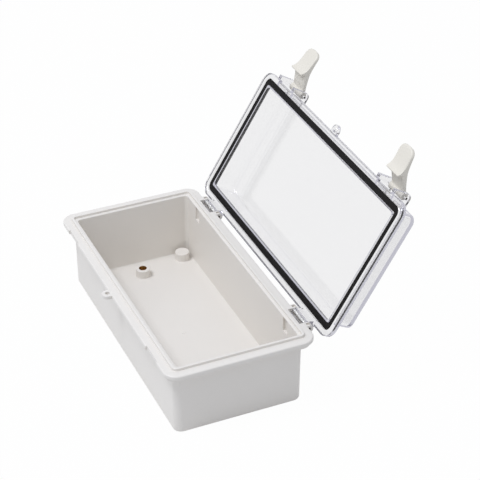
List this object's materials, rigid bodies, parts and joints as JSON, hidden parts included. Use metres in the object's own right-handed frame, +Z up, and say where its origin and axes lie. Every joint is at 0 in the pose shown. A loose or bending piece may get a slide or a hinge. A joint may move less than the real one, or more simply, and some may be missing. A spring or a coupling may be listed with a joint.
{
  "type": "waterproof junction box",
  "caption": "Pale grey plastic junction box with a clear hinged lid, a black rubber seal round the lid and hook latches along its front.",
  "frame": {"origin": "middle of the underside of the base", "axes": "+X along the box's length, +Y towards the hinges, +Z up out of the base; drawn with the lid open and both latches swung out"},
  "size_m": [0.2, 0.1855, 0.1558],
  "materials": {
    "base_plastic": "fine satin",
    "clear_plastic": "clear gloss",
    "seal_rubber": "matte",
    "latch_plastic": "satin",
    "pin_steel": "drawn",
    "insert_brass": "turned"
  },
  "bodies": {
    "base": {"base_shell": "base_plastic", "hinge_pin_left": "pin_steel", "hinge_pin_right": "pin_steel", "plate_insert_left": "insert_brass", "plate_insert_right": "insert_brass"},
    "lid": {"lid_cover": "clear_plastic", "lid_seal": "seal_rubber", "latch_pin_left": "pin_steel", "latch_pin_right": "pin_steel"},
    "latch_left": {"latch_lever_left": "latch_plastic"},
    "latch_right": {"latch_lever_right": "latch_plastic"}
  },
  "joints": [
    {"name": "lid_hinge", "type": "hinge", "parent": "base", "child": "lid", "pos_m": [0, 0.05135, 0.04685], "axis": [1, 0, 0], "range_deg": [0, 121.2]},
    {"name": "latch_left_hinge", "type": "hinge", "parent": "lid", "child": "latch_left", "pos_m": [-0.0716, 0.11578, 0.12573], "axis": [1, 0, 0], "range_deg": [0, 66]},
    {"name": "latch_right_hinge", "type": "hinge", "parent": "lid", "child": "latch_right", "pos_m": [0.0716, 0.11578, 0.12573], "axis": [1, 0, 0], "range_deg": [-13, 53]}
  ]
}
